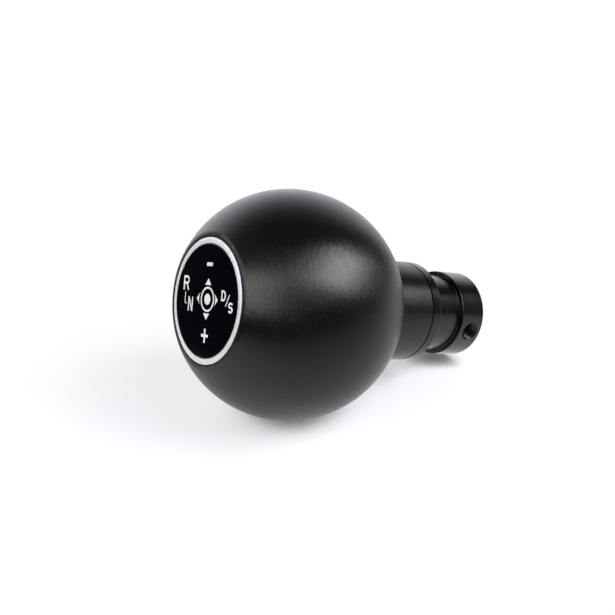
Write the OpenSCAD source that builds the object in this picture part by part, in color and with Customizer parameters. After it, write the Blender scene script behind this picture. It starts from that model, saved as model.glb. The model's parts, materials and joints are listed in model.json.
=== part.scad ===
// Ball gear knob for a selector lever: a turned ball with its neck, a silver-rimmed badge in the
// front face, and a turned adapter that clamps on the lever with three set screws.
// It stands on the adapter's rear face. +Z runs along the knob's axis, from the lever to the
// badge, and z = 0 is the rear face. +Y is the top of the badge's layout and +X is its right.

/* [Ball and neck] */
// Diameter of the ball
ball_d = 55; // [50:0.5:60]
// Width of the black lip between the badge's pocket and the ball's edge
lip_w = 0.85; // [0.7:0.05:2]
// Rounding of the ball's edge round the badge face
lip_round = 1.8; // [0.3:0.1:2.4]
// Diameter of the neck, and of the adapter's flange that continues it
neck_d = 25.8; // [24.5:0.1:30]
// Length of the neck, from the ball's surface to the seam
neck_len = 11.8; // [8:0.1:16]
// Fillet between the ball and the neck
neck_fillet = 1.5; // [0.5:0.1:3]
// Rounding of the neck's end at the seam
neck_edge = 0.3; // [0.1:0.05:0.5]

/* [Badge] */
// Outer diameter of the silver cup
cup_d = 28.7; // [24:0.1:30]
// Width of the cup's visible rim
rim_w = 1.5; // [1:0.1:2.5]
// Height of the cup
cup_h = 2.0; // [1.8:0.1:3]
// How far the rim stands above the ball's flat face
rim_rise = 0.1; // [0:0.02:0.3]
// Chamfer of the rim's outer edge
rim_edge = 0.1; // [0.05:0.05:0.25]
// Width of the rim's outer part, which slopes down to its outer edge
slope_w = 0.6; // [0.3:0.1:0.7]
// How far that part falls
slope_fall = 0.08; // [0.05:0.01:0.2]
// Rounding of the rim's inner edge
rim_round = 0.12; // [0.05:0.01:0.2]
// Thickness of the black layout disc
disc_t = 1.0; // [0.8:0.1:1.2]
// How far the disc stands above the rim
disc_rise = 0.2; // [0.1:0.02:0.3]
// Rounding of the disc's top edge
disc_round = 0.12; // [0.05:0.01:0.2]
// Gap round the disc in the cup
disc_gap = 0.04; // [0.02:0.01:0.1]
// Thickness of the adhesive pad under the cup
pad_t = 0.5; // [0.3:0.1:1]
// How far the pad stays inside the cup's edge
pad_inset = 0.8; // [0.5:0.1:2]
// Gap round the cup in its pocket
cup_gap = 0.15; // [0.05:0.01:0.2]

/* [Adapter] */
// Length of the flange that continues the neck
flange_len = 2.85; // [2:0.05:5]
// Rounding of the flange's rear edge
flange_edge = 0.25; // [0.1:0.05:0.5]
// Width of the dark seam between the neck and the flange
seam_w = 0.25; // [0.15:0.05:0.4]
// Depth of the seam
seam_depth = 0.6; // [0.3:0.1:1]
// Diameter of the boot groove's floor
groove_d = 20.1; // [19:0.1:21]
// Width of the boot groove
groove_len = 10.0; // [6:0.1:14]
// Fillet at both ends of the groove's floor
groove_fillet = 0.15; // [0.1:0.05:0.5]
// Diameter of the end ring
ring_d = 22.4; // [21.6:0.1:24]
// Length of the end ring
ring_len = 7.95; // [7.4:0.05:10]
// Rounding of the end ring's two edges
ring_edge = 0.2; // [0.1:0.05:0.4]

/* [Spigot and socket] */
// Diameter of the adapter's threaded spigot
spigot_d = 18; // [16:0.5:19]
// Length of the spigot
spigot_len = 13.5; // [12:0.5:18]
// Radial gap between the spigot and its socket
spigot_gap = 0.1; // [0.05:0.01:0.2]
// Length of the undercut behind the spigot's thread
undercut_len = 1.6; // [1:0.1:3]
// Depth of the undercut
undercut_depth = 0.9; // [0.5:0.1:1.2]
// Chamfer of the spigot's end and of the socket's mouth
spigot_edge = 0.8; // [0.4:0.1:1.2]
// Room past the spigot's end in the socket
socket_room = 0.6; // [0.3:0.1:1.5]

/* [Lever bore] */
// Diameter of the bore that takes the lever
bore_d = 10; // [9:0.1:11]
// Thickness of the adapter's closed end over the bore
bore_end_t = 4; // [2:0.5:6]
// Chamfer of the bore's mouth
bore_edge = 0.5; // [0.2:0.05:0.8]

/* [Set screws] */
// Thread diameter of the set screws
screw_d = 5; // [4:0.5:5.5]
// Length of a set screw
screw_len = 4; // [3:0.5:5]
// Height of the set screws over the rear face
screw_z = 3.8; // [3.4:0.1:4.2]
// How far a set screw's head end lies below the ring's surface
screw_recess = 2.2; // [1.2:0.1:2.6]
// Radial gap between a set screw and its hole
screw_gap = 0.05; // [0.02:0.01:0.1]
// Size of the hex socket across its flats
hex_af = 2.5; // [2:0.1:2.6]
// Depth of the hex socket
hex_depth = 2; // [1.5:0.1:2.2]
// Chamfer of a set screw's ends
screw_edge = 0.4; // [0.2:0.05:0.6]
// Countersink at the mouth of each set screw's hole
hole_edge = 0.25; // [0.1:0.05:0.5]
// Direction of the first set screw, from +X towards +Y
screw_angle = -22.5; // [-60:0.5:60]

/* [Hidden] */
$fn = 96;
eps = 0.01;

BLACK_SATIN = [0.10, 0.10, 0.11];
BLACK_GLOSS = [0.02, 0.02, 0.03];
BLACK_OXIDE = [0.07, 0.07, 0.07];
SILVER = [0.82, 0.83, 0.84];
FOAM_GREY = [0.35, 0.35, 0.36];

ball_r = ball_d / 2;
neck_r = neck_d / 2;
cup_r = cup_d / 2;
pocket_r = cup_r + cup_gap;
face_r = pocket_r + lip_w;
disc_r = cup_r - rim_w - disc_gap;
well_r = cup_r - rim_w;
groove_r = groove_d / 2;
ring_r = ring_d / 2;
spigot_r = spigot_d / 2;
socket_r = spigot_r + spigot_gap;
bore_r = bore_d / 2;
screw_r = screw_d / 2 - screw_gap;
hole_r = screw_d / 2;

// Heights along the axis, from the rear face up
groove_z = ring_len;
flange_z = groove_z + groove_len;
seam_z = flange_z + flange_len;
ball_z = seam_z + neck_len + sqrt(ball_r * ball_r - neck_r * neck_r);
face_z = ball_z + sqrt(ball_r * ball_r - face_r * face_r);
rim_z = face_z + rim_rise;
disc_top_z = rim_z + disc_rise;
disc_z = disc_top_z - disc_t;
cup_z = rim_z - cup_h;
pad_z = cup_z - pad_t;
spigot_top_z = seam_z + spigot_len;
bore_len = spigot_top_z - bore_end_t;

SCREW_COUNT = 3;
DRILL_POINT_ANGLE = 118;
CUP_POINT_D = 2.4;
CUP_POINT_DEPTH = 0.5;

function screw_turn(i) = screw_angle + i * 360 / SCREW_COUNT;

// What a rounded edge leaves off a square corner at [x, z], at the upper end of a turned piece,
// or at its lower end where down is true
module edge_cut(x, z, r, down = false) {
    translate([x, z]) mirror([0, down ? 1 : 0])
        difference() {
            translate([-r, -r]) square(r + eps);
            translate([-r, -r]) circle(r = r);
        }
}

// Half of the turned ball, cut flat at the badge face and rounded at the lip
module ball_profile() {
    round_z = face_z - lip_round;
    round_x = sqrt(pow(ball_r - lip_round, 2) - pow(round_z - ball_z, 2));
    past = (ball_r + eps) / (ball_r - lip_round);
    difference() {
        translate([0, ball_z]) circle(r = ball_r);
        translate([-ball_d, -ball_d]) square([ball_d, 3 * ball_d]);
        translate([0, face_z]) square([ball_d, ball_r]);
        difference() {
            polygon([[round_x, round_z], [round_x, face_z + eps], [face_r + eps, face_z + eps],
                     [round_x * past, ball_z + (round_z - ball_z) * past]]);
            translate([round_x, round_z]) circle(r = lip_round);
        }
    }
}

// Half of the neck, with the fillet that runs into the ball
module neck_profile() {
    fillet_x = neck_r + neck_fillet;
    fillet_z = ball_z - sqrt(pow(ball_r + neck_fillet, 2) - fillet_x * fillet_x);
    touch = ball_r / (ball_r + neck_fillet);
    difference() {
        translate([0, seam_z]) square([neck_r, fillet_z + eps - seam_z]);
        edge_cut(neck_r, seam_z, neck_edge, down = true);
    }
    difference() {
        polygon([[0, fillet_z], [fillet_x, fillet_z],
                 [fillet_x * touch, ball_z + (fillet_z - ball_z) * touch], [0, ball_z]]);
        translate([fillet_x, fillet_z]) circle(r = neck_fillet);
    }
}

// Half of the socket for the spigot, with the drill's cone at its end
module socket_profile() {
    top_z = spigot_top_z + socket_room;
    cone_h = socket_r / tan(DRILL_POINT_ANGLE / 2);
    polygon([[0, seam_z - eps], [socket_r + spigot_edge + eps, seam_z - eps],
             [socket_r, seam_z + spigot_edge], [socket_r, top_z], [0, top_z + cone_h]]);
}

module knob_body() {
    color(BLACK_SATIN)
    rotate_extrude()
        difference() {
            union() {
                ball_profile();
                neck_profile();
            }
            socket_profile();
            translate([0, pad_z]) square([pocket_r, cup_h + pad_t + eps]);
        }
}

// Silver cup that holds the disc, with its rim's outer part sloping down and outwards
module badge_cup() {
    color(SILVER)
    rotate_extrude()
        polygon([[0, cup_z], [cup_r - rim_edge, cup_z], [cup_r, cup_z + rim_edge],
                 [cup_r, rim_z - slope_fall - rim_edge], [cup_r - rim_edge, rim_z - slope_fall],
                 [cup_r - slope_w, rim_z], [well_r + rim_round, rim_z],
                 [well_r, rim_z - rim_round], [well_r, disc_z], [0, disc_z]]);
}

module layout_disc() {
    color(BLACK_GLOSS)
    rotate_extrude()
        difference() {
            translate([0, disc_z]) square([disc_r, disc_t]);
            edge_cut(disc_r, disc_top_z, disc_round);
        }
}

module adhesive_pad() {
    color(FOAM_GREY)
    translate([0, 0, pad_z]) cylinder(r = cup_r - pad_inset, h = pad_t);
}

// Fillets where the groove's floor meets the ring and the flange
module groove_fillets() {
    for (end = [0, 1])
        translate([groove_r, end == 0 ? groove_z : flange_z]) mirror([0, end])
            difference() {
                translate([-eps, -eps]) square(groove_fillet + eps);
                translate([groove_fillet, groove_fillet]) circle(r = groove_fillet);
            }
}

// Half of the turned adapter: ring, groove, flange, seam, undercut and spigot
module adapter_profile() {
    step_z = seam_z - seam_w;
    undercut_r = spigot_r - undercut_depth;
    undercut_z = seam_z + undercut_len;
    groove_fillets();
    difference() {
        polygon([[bore_r + bore_edge, 0], [ring_r, 0], [ring_r, groove_z], [groove_r, groove_z],
                 [groove_r, flange_z], [neck_r, flange_z], [neck_r, step_z],
                 [neck_r - seam_depth, step_z], [neck_r - seam_depth, seam_z],
                 [undercut_r, seam_z], [undercut_r, undercut_z],
                 [spigot_r, undercut_z + undercut_depth], [spigot_r, spigot_top_z - spigot_edge],
                 [spigot_r - spigot_edge, spigot_top_z], [0, spigot_top_z],
                 [0, bore_len], [bore_r, bore_len], [bore_r, bore_edge]]);
        edge_cut(ring_r, 0, ring_edge, down = true);
        edge_cut(ring_r, groove_z, ring_edge);
        edge_cut(neck_r, flange_z, flange_edge, down = true);
    }
}

// Threaded hole for one set screw, from the bore to just outside the ring, along +X
module screw_hole() {
    translate([bore_r / 2, 0, screw_z]) rotate([0, 90, 0])
        cylinder(r = hole_r, h = ring_r);
    translate([ring_r - hole_edge, 0, screw_z]) rotate([0, 90, 0])
        cylinder(r1 = hole_r, r2 = hole_r + 2 * hole_edge, h = 2 * hole_edge);
}

module adapter_body() {
    color(BLACK_SATIN)
    difference() {
        rotate_extrude() adapter_profile();
        for (i = [0 : SCREW_COUNT - 1]) rotate(screw_turn(i)) screw_hole();
    }
}

// Cup-point set screw along +X, with its hex socket outwards
module set_screw(i) {
    tip_x = ring_r - screw_recess - screw_len;
    head_x = ring_r - screw_recess;
    color(BLACK_OXIDE)
    rotate(screw_turn(i)) translate([tip_x, 0, screw_z]) rotate([0, 90, 0])
        difference() {
            rotate_extrude()
                polygon([[0, CUP_POINT_DEPTH], [CUP_POINT_D / 2, 0], [screw_r - screw_edge, 0],
                         [screw_r, screw_edge], [screw_r, screw_len - screw_edge],
                         [screw_r - screw_edge, screw_len], [0, screw_len]]);
            translate([0, 0, screw_len - hex_depth])
                cylinder(d = hex_af / cos(30), h = hex_depth + eps, $fn = 6);
        }
}

knob_body();
badge_cup();
layout_disc();
adhesive_pad();
adapter_body();
set_screw(0);  // set_screw_1
set_screw(1);  // set_screw_2
set_screw(2);  // set_screw_3
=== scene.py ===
"""Looks of a ball gear knob: finishes, the badge's marks, the screws' threads, stage and light."""

import json
import math

import bmesh
import bpy
from mathutils import Matrix, Vector


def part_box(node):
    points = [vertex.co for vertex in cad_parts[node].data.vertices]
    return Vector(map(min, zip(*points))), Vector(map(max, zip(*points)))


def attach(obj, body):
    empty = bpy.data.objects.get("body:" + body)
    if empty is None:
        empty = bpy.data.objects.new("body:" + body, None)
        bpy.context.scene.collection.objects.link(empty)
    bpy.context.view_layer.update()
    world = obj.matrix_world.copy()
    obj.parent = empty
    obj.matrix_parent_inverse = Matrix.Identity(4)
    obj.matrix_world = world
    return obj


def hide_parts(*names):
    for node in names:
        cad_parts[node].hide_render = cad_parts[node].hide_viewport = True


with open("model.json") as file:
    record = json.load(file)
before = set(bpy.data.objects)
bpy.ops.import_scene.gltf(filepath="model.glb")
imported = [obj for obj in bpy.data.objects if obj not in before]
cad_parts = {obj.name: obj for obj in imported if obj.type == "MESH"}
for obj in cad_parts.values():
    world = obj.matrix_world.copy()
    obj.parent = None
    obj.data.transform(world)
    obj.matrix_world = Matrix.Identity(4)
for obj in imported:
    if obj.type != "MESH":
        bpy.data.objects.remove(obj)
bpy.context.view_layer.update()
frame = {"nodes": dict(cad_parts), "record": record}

MM = 0.001

# Camera, in millimetres in the knob's own frame. It looks down the knob at an angle, rolled so
# that the badge's top is nearly up, as in the photograph.
CAMERA_AT = (171.98, 7.36, 185.39)
CAMERA_LOOKS_AT = (2.86, -0.25, 53.25)
CAMERA_UP = (-0.0749, 0.9964, 0.0385)
FOCAL_LENGTH_MM = 52.7
SENSOR_MM = 36.0
CLIP_START_MM = 10.0

# The table on which the photographed knob lies, touching it at the ball and the end ring. The model
# stands upright, so here the table stands beside it, and TABLE_UP is the table's normal.
TABLE_UP = Vector((0.258, 0.921, 0.290)).normalized()
BALL_Z_MM = 56.89
# How far the table reaches from the point under the ball
TABLE_REACH_MM = {"towards": 190.0, "back": 700.0, "left": 150.0, "right": 520.0}
# The distances over which it fades into plain white: all round for the camera, and for reflections
# in one direction, which runs this many parts to the right for one part back
TABLE_FADE_MM = (35.0, 95.0)
TABLE_BACK_FADE_MM = (-25.0, 45.0)
TABLE_BACK_RIGHT = 1.2
# Its colour, for other rays and for the camera, and its own light: the colour of that, and its
# strength in reflections and for the camera
TABLE_COLOUR = (0.60, 0.60, 0.62)
TABLE_COLOUR_SEEN = (0.47, 0.475, 0.50)
TABLE_ROUGHNESS = 0.6
TABLE_GLOW = (0.985, 0.985, 1.0)
TABLE_LIFT = 0.26
TABLE_LIFT_SEEN = 0.59
# Its shade under the knob, for the camera, is (ambient occlusion over this many mm times a gain, at
# most 1) to a power: a broad one of its light, and a short one of its colour too, which is there
# under the adapter and ends between these heights along the knob's axis
TABLE_SHADE = (120.0, 3.8, 2.2)
TABLE_CONTACT_SHADE = (6.0, 1.4, 1.8)
TABLE_CONTACT_END_MM = (20.0, 34.0)
SHADE_SAMPLES = 8
# In reflections it dims by this share over this distance, towards the camera and to its right
TABLE_DIM = 0.55
TABLE_DIM_MM = (0.0, 110.0)
TABLE_DIM_RIGHT = 0.45

# The studio's own grey, and its white backdrop: its strength and colour, the sine of the height
# where it is full and where it is gone, how far its middle lies left of the back and up, and the
# cosine of the angle from that middle where it is gone and where it is full
STUDIO_GREY = (0.056, 0.058, 0.066)
BACKDROP_LIGHT = 1.32
BACKDROP_COLOUR = (0.98, 0.98, 1.05)
BACKDROP_TOP = (0.25, 0.92)
BACKDROP_LEFT = 0.22
BACKDROP_UP = 0.25
BACKDROP_SIDE = (0.50, 0.85)
WHITE = (1.0, 1.0, 1.0)

# The turned finishes: the share of their fine rings beside the broad ones, and how fine the broad
# ones are beside them. Clouds vary the gloss too, and so does seeing the finish edge on.
BLACK_ANODISED = (0.0010, 0.0010, 0.0013)
FINE_SHARE = 0.75
BROAD_RINGS = 0.1
ROUGHNESS_SPREAD = 0.10
CLOUD_SCALE = 90.0
CLOUD_SPREAD = 0.02
EDGE_ON_GLOSS = 0.15
EDGE_ON_BLEND = 0.2
QUARTER_TURN = 0.25
# Painted shade on a rim's outer corner, where it falls into its shadow gap: its dark colour,
# and over how far the colour darkens
PAINTED_GAP_SHADE = (0.02, 0.02, 0.02)
PAINTED_GAP_SHADE_BLEND_MM = 0.02
# The fine unevenness of the smooth finishes
GRAIN_SCALE = 700.0

# The badge's layout, in millimetres on the disc: x to the right, y to the top
LAYOUT_CENTRE = (0.89, 0.41)
INLAY_HEIGHT = 0.05
LETTER_STROKE = 0.5

# The M5 threads of the set screws and their holes, in millimetres
THREAD_PITCH = 0.8
THREAD_HALF_ANGLE = math.radians(30)
SCREW_CREST_R = 2.42
SCREW_ROOT_R = 2.05
HOLE_ROOT_R = 2.52
HOLE_CREST_R = 2.13
CREST_HALF_W = 0.05
# How many points show a turn of the thread, and how many show its profile from crest to crest
THREAD_STEPS = 48
PITCH_STEPS = 12
# Where a hole's thread lies in the end ring: between the lever bore and the countersunk mouth
BORE_R = 5.0
RING_R = 11.2
HOLE_THREAD_INSET = 0.15
HOLE_SLEEVE_WALL = 0.05
HOLE_COUNTERSINK = 0.25
# The screws' sockets and points
HEX_ACROSS_FLATS = 2.5
HEX_DEPTH = 2.0
CUP_POINT_R = 1.2
CUP_POINT_DEPTH = 0.5
SCREW_CHAMFER = 0.45


def box_mm(node):
    """A node's lowest and highest corners in millimetres."""
    low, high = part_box(node)
    return Vector(low) / MM, Vector(high) / MM


def new_object(name, data):
    obj = bpy.data.objects.new(name, data)
    bpy.context.scene.collection.objects.link(obj)
    return obj


def object_from(name, verts, faces):
    """A mesh object from points in millimetres."""
    mesh = bpy.data.meshes.new(name)
    mesh.from_pydata([Vector(v) * MM for v in verts], [], faces)
    mesh.validate()
    return new_object(name, mesh)


# Node trees and materials


class Nodes:
    """A short way to build a node tree."""

    def __init__(self, tree):
        self.tree = tree

    def add(self, kind, **settings):
        node = self.tree.nodes.new(kind)
        for key, value in settings.items():
            setattr(node, key, value)
        return node

    def link(self, source, target):
        self.tree.links.new(source, target)

    def fill(self, slots, values):
        """Gives each socket its value: a number, a colour, or what comes out of another node."""
        for slot, value in zip(slots, values):
            if isinstance(value, tuple):
                slot.default_value = (*value, 1.0)
            elif isinstance(value, (int, float)):
                slot.default_value = value
            else:
                self.link(value, slot)

    def math(self, operation, *values):
        node = self.add("ShaderNodeMath", operation=operation)
        self.fill(node.inputs, values)
        return node.outputs[0]

    def dot(self, vector, axis):
        """How far a vector runs along an axis."""
        node = self.add("ShaderNodeVectorMath", operation="DOT_PRODUCT")
        self.link(vector, node.inputs[0])
        node.inputs[1].default_value = axis
        return node.outputs["Value"]

    def mix(self, factor, low, high):
        """A colour between low and high."""
        node = self.add("ShaderNodeMix", data_type="RGBA")
        self.fill((node.inputs[0], node.inputs[6], node.inputs[7]), (factor, low, high))
        return node.outputs[2]

    def mix_shaders(self, factor, first, second):
        """The first shader where the factor is 0, and the second where it is 1."""
        node = self.add("ShaderNodeMixShader")
        self.fill(node.inputs, (factor, first, second))
        return node.outputs[0]

    def glow(self, kind, colour, strength=1.0):
        """A shader that gives light: ShaderNodeEmission, or ShaderNodeBackground in a world."""
        node = self.add(kind)
        self.fill((node.inputs["Color"], node.inputs["Strength"]), (colour, strength))
        return node.outputs[0]

    def span(self, value, low, high):
        """A value from 0..1, stretched to low..high."""
        node = self.add("ShaderNodeMapRange")
        self.fill(node.inputs, (value, 0.0, 1.0, low, high))
        return node.outputs[0]

    def step(self, value, low, high):
        """0 up to low and 1 from high, smooth between."""
        node = self.add("ShaderNodeMapRange", interpolation_type="SMOOTHSTEP")
        self.fill(node.inputs, (value, low, high))
        return node.outputs[0]

    def step_mm(self, length, low_mm, high_mm):
        """The same for a length in metres and limits in millimetres."""
        return self.step(length, low_mm * MM, high_mm * MM)

    def noise(self, vector, scale, detail=2.0, roughness=0.55):
        node = self.add("ShaderNodeTexNoise")
        names = ("Vector", "Scale", "Detail", "Roughness")
        self.fill([node.inputs[name] for name in names], (vector, scale, detail, roughness))
        return node.outputs["Fac"]

    def bump(self, height, distance_mm):
        node = self.add("ShaderNodeBump")
        names = ("Height", "Strength", "Distance")
        self.fill([node.inputs[name] for name in names], (height, 1.0, distance_mm * MM))
        return node.outputs["Normal"]

    def shade(self, distance_mm, gain, power):
        """1 in the open, falling to 0 close under something."""
        node = self.add("ShaderNodeAmbientOcclusion", samples=SHADE_SAMPLES)
        node.inputs["Distance"].default_value = distance_mm * MM
        open_part = self.math("MINIMUM", self.math("MULTIPLY", node.outputs["AO"], gain), 1.0)
        return self.math("POWER", open_part, power)

    def object_coordinates(self):
        return self.add("ShaderNodeTexCoord").outputs["Object"]

    def x_y_z(self):
        split = self.add("ShaderNodeSeparateXYZ")
        self.link(self.object_coordinates(), split.inputs[0])
        return split.outputs

    def radius(self):
        """The distance from the Z axis."""
        x, y, z = self.x_y_z()
        squares = self.math("ADD", self.math("MULTIPLY", x, x), self.math("MULTIPLY", y, y))
        return self.math("SQRT", squares)

    def turning_coordinates(self, around):
        """Radius and height in millimetres, and the angle as a slow third axis, so that noise
        on them runs in rings round Z. around says how fast it changes along a ring."""
        x, y, z = self.x_y_z()
        angle = self.math("ARCTAN2", y, x)
        # The angle jumps at -X, so its cosine and sine would cost two axes; its size is enough
        bend = self.math("MULTIPLY", self.math("ABSOLUTE", angle), around)
        radius_mm = self.math("MULTIPLY", self.radius(), 1 / MM)
        height_mm = self.math("MULTIPLY", z, 1 / MM)
        join = self.add("ShaderNodeCombineXYZ")
        self.fill(join.inputs, (radius_mm, bend, height_mm))
        return join.outputs[0]


class MaterialNodes(Nodes):
    """The nodes of a new material."""

    def __init__(self, name):
        self.material = bpy.data.materials.new(name)
        self.material.use_nodes = True
        super().__init__(self.material.node_tree)
        self.shader = self.tree.nodes["Principled BSDF"]
        self.output = self.tree.nodes["Material Output"]

    def set_shader(self, values):
        """Fills the shader's sockets from a dictionary."""
        self.fill([self.shader.inputs[name] for name in values], values.values())


def scaled(colour, factor):
    return tuple(part * factor for part in colour)


def turned(name, colour, roughness, line_scale, line_mm, anisotropy, around, metallic=0.0,
           colour_spread=0.3, painted_shade_from_mm=None):
    """A turned metal finish: rings round Z in its roughness, colour and surface, which spread a
    highlight across themselves. It is glossier where it is seen edge on. line_scale says how fine
    the rings are, line_mm how deep, and around how fast they change along themselves. From the
    radius in millimetres in the last argument outwards the colour is painted dark, as painted
    shade where a rim's outer corner falls into its shadow gap."""
    n = MaterialNodes(name)
    rings = n.turning_coordinates(around)
    fine = n.noise(rings, line_scale, roughness=0.6)
    broad = n.noise(rings, line_scale * BROAD_RINGS)
    cloud = n.noise(n.object_coordinates(), CLOUD_SCALE)
    lines = n.math("ADD", n.math("MULTIPLY", fine, FINE_SHARE),
                   n.math("MULTIPLY", broad, 1 - FINE_SHARE))
    surface = n.mix(lines, scaled(colour, 1 - colour_spread), scaled(colour, 1 + colour_spread))
    # Painted shade: past the given radius the colour turns dark, where a rim's outer corner falls
    # into its shadow gap
    if painted_shade_from_mm:
        blend = PAINTED_GAP_SHADE_BLEND_MM
        outside = n.step_mm(n.radius(), painted_shade_from_mm - blend, painted_shade_from_mm + blend)
        surface = n.mix(outside, surface, PAINTED_GAP_SHADE)
    facing = n.add("ShaderNodeLayerWeight")
    facing.inputs["Blend"].default_value = EDGE_ON_BLEND
    edge_on = n.math("MULTIPLY", facing.outputs["Facing"], -EDGE_ON_GLOSS)
    uneven = n.math("ADD", n.span(cloud, -CLOUD_SPREAD, CLOUD_SPREAD), edge_on)
    spread = n.span(lines, roughness - ROUGHNESS_SPREAD, roughness + ROUGHNESS_SPREAD)
    tangent = n.add("ShaderNodeTangent", direction_type="RADIAL", axis="Z")
    n.set_shader({
        "Base Color": surface,
        "Roughness": n.math("ADD", spread, uneven),
        "Normal": n.bump(lines, line_mm),
        "Tangent": tangent.outputs[0],
        "Metallic": metallic,
        "Anisotropic": anisotropy,
        "Anisotropic Rotation": QUARTER_TURN,
    })
    return n.material


def plain(name, colour, roughness, grain=0.03, metallic=0.0, specular=0.5):
    """A smooth finish with a little unevenness in its gloss and colour."""
    n = MaterialNodes(name)
    cloud = n.noise(n.object_coordinates(), GRAIN_SCALE, detail=3.0)
    lighter = tuple(min(1.0, part) for part in scaled(colour, 1.1))
    n.set_shader({
        "Base Color": n.mix(cloud, scaled(colour, 0.9), lighter),
        "Roughness": n.span(cloud, roughness - grain, roughness + grain),
        "Metallic": metallic,
        "Specular IOR Level": specular,
    })
    return n.material


def make_materials():
    return {
        "satin_black": turned("satin_black", BLACK_ANODISED, 0.34, line_scale=2.0, line_mm=0.06,
                              anisotropy=0.8, around=7.0),
        "turned_black": turned("turned_black", BLACK_ANODISED, 0.24, line_scale=2.0, line_mm=0.07,
                               anisotropy=0.75, around=3.0),
        # The silver rim gets painted shade from 14.24 mm out, where its outer corner falls into its
        # gap
        "silver_rim": turned("silver_rim", (0.955, 0.97, 0.96), 0.54, line_scale=5.0, line_mm=0.004,
                             anisotropy=0.3, around=1.2, metallic=0.72, colour_spread=0.03,
                             painted_shade_from_mm=14.24),
        "gloss_black": plain("gloss_black", (0.0004, 0.0007, 0.0020), 0.08, grain=0.02,
                             specular=0.1),
        "adhesive_foam": plain("adhesive_foam", (0.30, 0.30, 0.31), 0.9),
        "screw_black": plain("screw_black", (0.03, 0.03, 0.03), 0.35, grain=0.06, metallic=0.6),
        "white_mark": plain("white_mark", (0.93, 0.93, 0.93), 0.5),
    }


def dress_nodes(materials):
    slots = {row["node"]: row["material_slot"] for row in frame["record"]["subparts"]}
    for name, obj in frame["nodes"].items():
        obj.data.materials.clear()
        obj.data.materials.append(materials[slots[name]])


# Marks on the badge


def arc(cx, cy, rx, ry, start, end, count=12):
    """Points along an ellipse, by angles in degrees."""
    turns = [math.radians(start + (end - start) * i / count) for i in range(count + 1)]
    return [(cx + rx * math.cos(t), cy + ry * math.sin(t)) for t in turns]


def circle(cx, cy, r, count):
    return arc(cx, cy, r, r, 0, 360 - 360 / count, count - 1)


def ribbon(points, width):
    """The outline of a stroke of one width along points, with flat ends."""
    left, right = [], []
    for i, point in enumerate(points):
        here = Vector(point)
        before = Vector(points[max(i - 1, 0)])
        after = Vector(points[min(i + 1, len(points) - 1)])
        ahead = (after - here).normalized() if i < len(points) - 1 else (here - before).normalized()
        behind = (here - before).normalized() if i > 0 else ahead
        between = (ahead + behind).normalized()
        side = Vector((-between.y, between.x)) * (width / 2 / max(0.5, between.dot(ahead)))
        left.append(here + side)
        right.append(here - side)
    return [tuple(p) for p in left + right[::-1]]


def rectangle(cx, cy, width, height):
    x, y = width / 2, height / 2
    return [(cx - x, cy - y), (cx + x, cy - y), (cx + x, cy + y), (cx - x, cy + y)]


# A letter fills a width w and a height h from its lower left corner, with strokes s wide


def letter_n(w, h, s):
    slant = 1.9 * s
    return [[(0, 0), (s, 0), (s, h - slant), (w - s, 0), (w, 0), (w, h), (w - s, h), (w - s, slant),
             (s, h), (0, h)]]


def letter_d(w, h, s):
    round_out = h * 0.46
    round_in = round_out - s
    side = w - round_out
    outer = [(0, 0)] + arc(side, round_out, round_out, round_out, -90, 0)
    outer += arc(side, h - round_out, round_out, round_out, 0, 90) + [(0, h)]
    inner = [(s, s)] + arc(side, round_out, round_in, round_in, -90, 0)
    inner += arc(side, h - round_out, round_in, round_in, 0, 90) + [(s, h - s)]
    return [outer, inner]


def letter_r(w, h, s):
    waist = h * 0.42
    bowl = (h - waist) / 2
    side = w - bowl
    outer = [(0, 0), (s, 0), (s, waist), (side - 0.35 * s, waist), (w - s, 0), (w + 0.12 * s, 0),
             (side + 0.75 * s, waist + 0.04 * s)]
    outer += arc(side, waist + bowl, bowl, bowl, -65, 90) + [(0, h)]
    inner = [(s, waist + s)] + arc(side, waist + bowl, bowl - s, bowl - s, -90, 90) + [(s, h - s)]
    return [outer, inner]


def letter_s(w, h, s):
    rx, ry = (w - s) / 2, (h - s) / 4
    line = arc(w / 2, h - s / 2 - ry, rx, ry, 25, 270, 20)
    line += arc(w / 2, s / 2 + ry, rx, ry, 90, -155, 20)[1:]
    return [ribbon(line, s)]


def shift(outlines, x, y):
    return [[(px + x, py + y) for px, py in line] for line in outlines]


def side_arrow(apex, corner, middle, half_height):
    """An arrow beside the ring, whose base is hollowed to follow it. Lengths run from the ring's
    centre, and a negative one makes it point left."""
    cx, cy = LAYOUT_CENTRE
    base = [(corner, half_height), (middle, half_height * 0.45), (middle, -half_height * 0.45),
            (corner, -half_height)]
    return [[(cx + x, cy + y) for x, y in base + [(apex, 0)]]]


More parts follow.
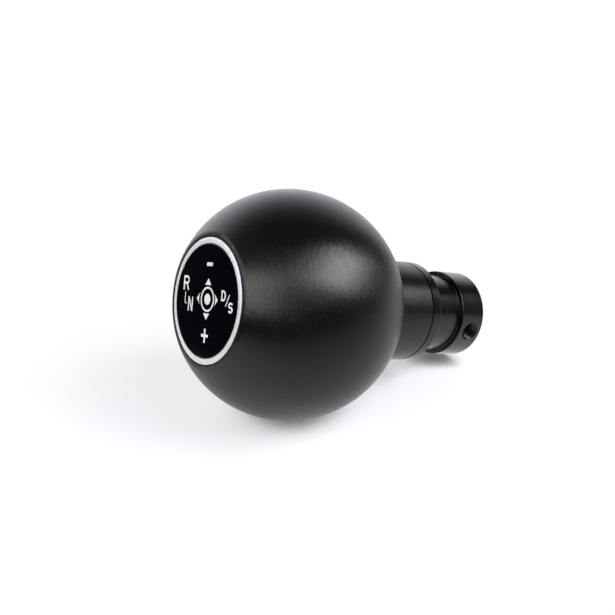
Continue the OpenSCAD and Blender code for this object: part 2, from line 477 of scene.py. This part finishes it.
def badge_marks():
    """Every mark of the layout as outlines, in millimetres."""
    cx, cy = LAYOUT_CENTRE
    bold = LETTER_STROKE
    # The arrows over and under the ring: their base and tip from its centre, and half their width
    base, tip, half = 3.17, 4.68, 1.22
    plus = [(-0.29, -1.6), (0.29, -1.6), (0.29, -0.32), (1.4, -0.32), (1.4, 0.32), (0.29, 0.32),
            (0.29, 1.6), (-0.29, 1.6), (-0.29, 0.32), (-1.4, 0.32), (-1.4, -0.32), (-0.29, -0.32)]
    return {
        "mark_minus": [rectangle(0.93, 8.21, 2.4, 0.8)],
        "mark_plus": shift([plus], 0.78, -7.74),
        "mark_ring": [circle(cx, cy, 2.80, 48), circle(cx, cy, 2.36, 48)],
        "mark_dot": [circle(cx, cy, 1.25, 24)],
        "mark_arrow_up": shift([[(-half, base), (half, base), (0, tip)]], cx - 0.06, cy),
        "mark_arrow_down": shift([[(-half, -base), (0, -tip), (half, -base)]], cx - 0.08, cy),
        "mark_arrow_left": side_arrow(-4.55, -3.2, -3.55, 1.35),
        "mark_arrow_right": side_arrow(4.3, 3.0, 3.3, 1.35),
        "mark_r": shift(letter_r(2.45, 3.3, bold), -9.82, 1.98),
        "mark_gate": [ribbon([(-8.77, 1.5), (-8.77, -0.85), (-8.12, -1.1)], 0.27)],
        "mark_n": shift(letter_n(2.05, 3.3, bold * 0.85), -7.31, -2.72),
        "mark_d": shift(letter_d(1.78, 2.4, bold * 0.9), 6.55, 0.38),
        "mark_slash": [ribbon([(9.80, 1.95), (8.45, -0.68)], 0.28)],
        "mark_s": shift(letter_s(1.85, 2.34, bold * 0.9), 9.55, -2.0),
    }


def inlay(name, outlines, top_mm):
    """A flat inlay of these outlines, filled between them, with its top at that height."""
    curve = bpy.data.curves.new(name, "CURVE")
    curve.dimensions = "2D"
    curve.fill_mode = "BOTH"
    curve.extrude = INLAY_HEIGHT / 2 * MM
    for line in outlines:
        spline = curve.splines.new("POLY")
        spline.points.add(len(line) - 1)
        for point, (x, y) in zip(spline.points, line):
            point.co = (x * MM, y * MM, 0, 1)
        spline.use_cyclic_u = True
    holder = bpy.data.objects.new(name, curve)
    mesh = bpy.data.meshes.new_from_object(holder)
    bpy.data.objects.remove(holder)
    for vertex in mesh.vertices:
        vertex.co.z += (top_mm - INLAY_HEIGHT / 2) * MM
    bm = bmesh.new()
    bm.from_mesh(mesh)
    bmesh.ops.remove_doubles(bm, verts=bm.verts, dist=1e-7)
    bmesh.ops.recalc_face_normals(bm, faces=bm.faces)
    bm.to_mesh(mesh)
    bm.free()
    return new_object(name, mesh)


def add_marks(materials):
    top = box_mm("layout_disc")[1].z + INLAY_HEIGHT / 2
    for name, outlines in badge_marks().items():
        mark = inlay(name, outlines, top)
        mark.data.materials.append(materials["white_mark"])
        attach(mark, "knob")


# Set screws and their threaded holes


def thread_height(place, crest_r, root_r):
    """The radius of a thread's flank at a place along its axis, measured from its crest."""
    slope = 1 / math.tan(THREAD_HALF_ANGLE)
    off_crest = abs((place + THREAD_PITCH / 2) % THREAD_PITCH - THREAD_PITCH / 2) - CREST_HALF_W
    depth = max(0.0, off_crest) * slope
    if crest_r > root_r:
        return max(root_r, crest_r - depth)
    return min(root_r, crest_r + depth)


def thread_places(start, end):
    """Places along a thread's axis, close enough together to show its flanks."""
    count = round((end - start) / THREAD_PITCH * PITCH_STEPS)
    return [start + (end - start) * i / count for i in range(count + 1)]


def screw_frame(axis, height):
    """A set screw's own x, y and z, with z outwards along its axis, and where they start."""
    outwards = Vector(axis).normalized()
    up = Vector((0, 0, 1))
    side = up.cross(outwards)
    return [side, up, outwards], Vector((0, 0, height))


def placed(points, axes, centre):
    return [axes[0] * x + axes[1] * y + axes[2] * z + centre for x, y, z in points]


def ring_points(radius_at, place):
    """A turn of points round a set screw's axis."""
    points = []
    for i in range(THREAD_STEPS):
        turn = 2 * math.pi * i / THREAD_STEPS
        radius = radius_at(turn, place)
        points.append((radius * math.cos(turn), radius * math.sin(turn), place))
    return points


def skin(first, second):
    """Quads between two turns of points, given their first numbers."""
    faces = []
    for i in range(THREAD_STEPS):
        ahead = (i + 1) % THREAD_STEPS
        faces.append((first + i, first + ahead, second + ahead, second + i))
    return faces


def flipped(faces):
    return [face[::-1] for face in faces]


def hole_thread(axes, centre, start, end):
    """The thread inside a set screw's hole, as a ridged sleeve let into the hole's wall. Its
    crests lie half a pitch off the screw's, and it runs out at both ends."""
    def radius_at(turn, place):
        flank = thread_height(place - THREAD_PITCH * turn / (2 * math.pi) + THREAD_PITCH / 2,
                              HOLE_CREST_R, HOLE_ROOT_R)
        fade = min(1.0, (place - start) / THREAD_PITCH, (end - place) / (THREAD_PITCH / 2))
        return HOLE_ROOT_R - (HOLE_ROOT_R - flank) * max(0.0, fade)

    places = thread_places(start, end)
    points, faces = [], []
    for place in places:
        points += ring_points(radius_at, place)
    outside = len(points)
    for place in (start, end):
        points += ring_points(lambda turn, at: HOLE_ROOT_R + HOLE_SLEEVE_WALL, place)
    for i in range(len(places) - 1):
        faces += flipped(skin(i * THREAD_STEPS, (i + 1) * THREAD_STEPS))
    faces += skin(outside, outside + THREAD_STEPS)
    faces += skin(0, outside)
    faces += flipped(skin((len(places) - 1) * THREAD_STEPS, outside + THREAD_STEPS))
    return placed(points, axes, centre), faces


def set_screw(axes, centre, tip, head):
    """A cup-point set screw with its thread and hex socket, from tip to head."""
    def radius_at(turn, place):
        flank = thread_height(place - THREAD_PITCH * turn / (2 * math.pi),
                              SCREW_CREST_R, SCREW_ROOT_R)
        edge = min(place - tip, head - place) + SCREW_CREST_R - SCREW_CHAMFER
        return min(flank, edge)

    places = thread_places(tip, head)
    points, faces = [], []
    for place in places:
        points += ring_points(radius_at, place)
    for i in range(len(places) - 1):
        faces += skin(i * THREAD_STEPS, (i + 1) * THREAD_STEPS)
    last = (len(places) - 1) * THREAD_STEPS

    cup = len(points)
    points += ring_points(lambda turn, at: CUP_POINT_R, tip)
    faces += flipped(skin(0, cup))
    points.append((0, 0, tip + CUP_POINT_DEPTH))
    faces += [(cup + (i + 1) % THREAD_STEPS, cup + i, len(points) - 1) for i in range(THREAD_STEPS)]

    def hex_radius(turn, place):
        from_flat = (turn + math.pi / 6) % (math.pi / 3) - math.pi / 6
        return HEX_ACROSS_FLATS / 2 / math.cos(from_flat)

    mouth = len(points)
    points += ring_points(hex_radius, head)
    floor = len(points)
    points += ring_points(hex_radius, head - HEX_DEPTH)
    faces += skin(last, mouth) + skin(mouth, floor)
    faces.append([floor + i for i in range(THREAD_STEPS)])
    return placed(points, axes, centre), faces


def smooth_by_angle(obj, degrees=35):
    for polygon in obj.data.polygons:
        polygon.use_smooth = True
    obj.data.set_sharp_from_angle(angle=math.radians(degrees))


def add_screws(materials):
    """Threads in the three holes, and threaded screws in place of the plain ones."""
    for joint in frame["record"]["behaviour"]["joints"]:
        body = joint["child"]
        node = frame["record"]["behaviour"]["bodies"][body][0]
        low, high = box_mm(node)
        axes, centre = screw_frame(joint["axis"], (low.z + high.z) / 2)
        reach = [vertex.co.dot(axes[2]) / MM for vertex in frame["nodes"][node].data.vertices]
        screw = object_from("threaded_" + node, *set_screw(axes, centre, min(reach), max(reach)))
        screw.data.materials.append(materials["screw_black"])
        smooth_by_angle(screw)
        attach(screw, body)
        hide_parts(node)
        mouth = math.sqrt(RING_R ** 2 - HOLE_ROOT_R ** 2) - HOLE_COUNTERSINK / 2
        sleeve = hole_thread(axes, centre, BORE_R + HOLE_THREAD_INSET, mouth)
        thread = object_from("hole_thread_" + node[-1], *sleeve)
        thread.data.materials.append(materials["turned_black"])
        smooth_by_angle(thread)
        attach(thread, "knob")


# Stage, light and camera


def table_material(contact, towards, right):
    """White card with a little light of its own, fading to plain white away from the knob. It is
    clear from below, so that it hides nothing there."""
    n = MaterialNodes("table_white")
    path = n.add("ShaderNodeLightPath")
    seen = path.outputs["Is Camera Ray"]
    mirrored = n.math("ADD", path.outputs["Is Glossy Ray"], path.outputs["Is Transmission Ray"])

    past_adapter = n.step_mm(n.x_y_z()[2], *TABLE_CONTACT_END_MM)
    contact_shade = n.math("MAXIMUM", n.shade(*TABLE_CONTACT_SHADE), past_adapter)
    seen_colour = n.mix(contact_shade, (0.0, 0.0, 0.0), TABLE_COLOUR_SEEN)
    seen_light = n.math("MULTIPLY", seen, n.math("MULTIPLY", n.shade(*TABLE_SHADE), contact_shade))
    n.set_shader({
        "Base Color": n.mix(seen, TABLE_COLOUR, seen_colour),
        "Roughness": TABLE_ROUGHNESS,
        "Emission Color": TABLE_GLOW,
        "Emission Strength": n.math("ADD", n.math("MULTIPLY", mirrored, TABLE_LIFT),
                                    n.math("MULTIPLY", seen_light, TABLE_LIFT_SEEN)),
    })

    subtract = n.add("ShaderNodeVectorMath", operation="SUBTRACT")
    n.link(n.object_coordinates(), subtract.inputs[0])
    subtract.inputs[1].default_value = contact * MM
    offset = subtract.outputs[0]
    away = n.add("ShaderNodeVectorMath", operation="LENGTH")
    n.link(offset, away.inputs[0])
    backwards = n.dot(offset, (right * TABLE_BACK_RIGHT - towards).normalized())
    fade_seen = n.math("MULTIPLY", n.step_mm(away.outputs["Value"], *TABLE_FADE_MM), seen)
    fade_mirrored = n.math("MULTIPLY", n.step_mm(backwards, *TABLE_BACK_FADE_MM), mirrored)
    faded = n.mix_shaders(n.math("MAXIMUM", fade_seen, fade_mirrored), n.shader.outputs[0],
                          n.glow("ShaderNodeEmission", WHITE))

    forwards = n.dot(offset, (towards + right * TABLE_DIM_RIGHT).normalized())
    dim = n.math("MULTIPLY", n.step_mm(forwards, *TABLE_DIM_MM),
                 n.math("MULTIPLY", mirrored, TABLE_DIM))
    dimmed = n.mix_shaders(dim, faded, n.glow("ShaderNodeEmission", WHITE, 0.0))

    clear = n.add("ShaderNodeBsdfTransparent")
    below = n.add("ShaderNodeNewGeometry").outputs["Backfacing"]
    n.link(n.mix_shaders(below, dimmed, clear.outputs[0]), n.output.inputs["Surface"])
    return n.material


def stage_axes():
    """Up from the table, towards the camera along it, and to the camera's right."""
    up = TABLE_UP
    view = Vector(CAMERA_AT) - Vector(CAMERA_LOOKS_AT)
    towards = (view - up * view.dot(up)).normalized()
    return up, towards, up.cross(towards)


def add_table():
    up, towards, right = stage_axes()
    ball_r = box_mm("knob_body")[1].x
    contact = Vector((0, 0, BALL_Z_MM)) - up * ball_r
    front, back = towards * TABLE_REACH_MM["towards"], -towards * TABLE_REACH_MM["back"]
    right_side, left_side = right * TABLE_REACH_MM["right"], -right * TABLE_REACH_MM["left"]
    corners = [contact + front + left_side, contact + front + right_side,
               contact + back + right_side, contact + back + left_side]
    table = object_from("table", corners, [(0, 1, 2, 3)])
    table.data.materials.append(table_material(contact, towards, right))
    if table.data.polygons[0].normal.dot(up) < 0:
        table.data.flip_normals()


def area_light(name, right_mm, up_mm, towards_mm, width_mm, height_mm, tilt, power, colour):
    """A soft box placed by its distances from the ball's centre along the stage's axes, facing
    the ball. Its width lies level, or is tilted by that many degrees."""
    up, towards, right = stage_axes()
    centre = Vector((0, 0, BALL_Z_MM))
    place = right * right_mm + up * up_mm + towards * towards_mm
    lamp = bpy.data.lights.new(name, "AREA")
    lamp.shape = "RECTANGLE"
    lamp.size = width_mm * MM
    lamp.size_y = height_mm * MM
    lamp.energy = power
    lamp.color = colour
    back = place.normalized()
    side = up.cross(back).normalized()
    facing = Matrix((side, back.cross(side), back)).transposed()
    turn = facing @ Matrix.Rotation(math.radians(tilt), 3, "Z")
    new_object(name, lamp).matrix_world = Matrix.LocRotScale((centre + place) * MM, turn, None)


def add_world():
    """A dark studio with a white backdrop behind the table, which all rays see, and plain white
    where only the camera looks."""
    world = bpy.data.worlds.new("studio")
    bpy.context.scene.world = world
    world.use_nodes = True
    n = Nodes(world.node_tree)
    n.tree.nodes.clear()
    up, towards, right = stage_axes()
    middle = (up * BACKDROP_UP - towards - right * BACKDROP_LEFT).normalized()
    direction = n.add("ShaderNodeTexCoord").outputs["Generated"]
    low = n.step(n.dot(direction, up), BACKDROP_TOP[1], BACKDROP_TOP[0])
    behind = n.step(n.dot(direction, middle), *BACKDROP_SIDE)
    grey = n.glow("ShaderNodeBackground", STUDIO_GREY)
    backdrop = n.glow("ShaderNodeBackground", BACKDROP_COLOUR, BACKDROP_LIGHT)
    studio = n.mix_shaders(n.math("MULTIPLY", low, behind), grey, backdrop)
    seen = n.add("ShaderNodeLightPath").outputs["Is Camera Ray"]
    whole = n.mix_shaders(seen, studio, n.glow("ShaderNodeBackground", WHITE))
    n.link(whole, n.add("ShaderNodeOutputWorld").inputs["Surface"])


def add_camera():
    at, target, up = Vector(CAMERA_AT) * MM, Vector(CAMERA_LOOKS_AT) * MM, Vector(CAMERA_UP)
    data = bpy.data.cameras.new("camera")
    data.sensor_width = SENSOR_MM
    data.sensor_height = SENSOR_MM
    data.sensor_fit = "HORIZONTAL"
    data.lens = FOCAL_LENGTH_MM
    data.clip_start = CLIP_START_MM * MM
    camera = new_object("camera", data)
    back = (at - target).normalized()
    right = up.cross(back).normalized()
    true_up = back.cross(right)
    camera.matrix_world = Matrix((
        (right.x, true_up.x, back.x, at.x),
        (right.y, true_up.y, back.y, at.y),
        (right.z, true_up.z, back.z, at.z),
        (0, 0, 0, 1),
    ))
    bpy.context.scene.camera = camera


def add_stage():
    add_table()
    add_world()
    area_light("key_softbox", right_mm=331, up_mm=288, towards_mm=100, width_mm=308, height_mm=232,
               tilt=20, power=2.06, colour=(0.98, 1.0, 1.0))
    area_light("key_spill", right_mm=218, up_mm=289, towards_mm=267, width_mm=171, height_mm=330,
               tilt=11, power=0.20, colour=(0.85, 0.95, 1.0))
    area_light("fill_softbox", right_mm=-261, up_mm=227, towards_mm=288, width_mm=381, height_mm=281,
               tilt=9, power=1.16, colour=(1.0, 0.97, 0.90))
    area_light("side_softbox", right_mm=-420, up_mm=160, towards_mm=0, width_mm=300, height_mm=100,
               tilt=0, power=0.35, colour=(0.85, 0.92, 1.0))


materials = make_materials()
dress_nodes(materials)
add_marks(materials)
add_screws(materials)
add_stage()
add_camera()
bpy.context.scene.view_settings.view_transform = "Standard"
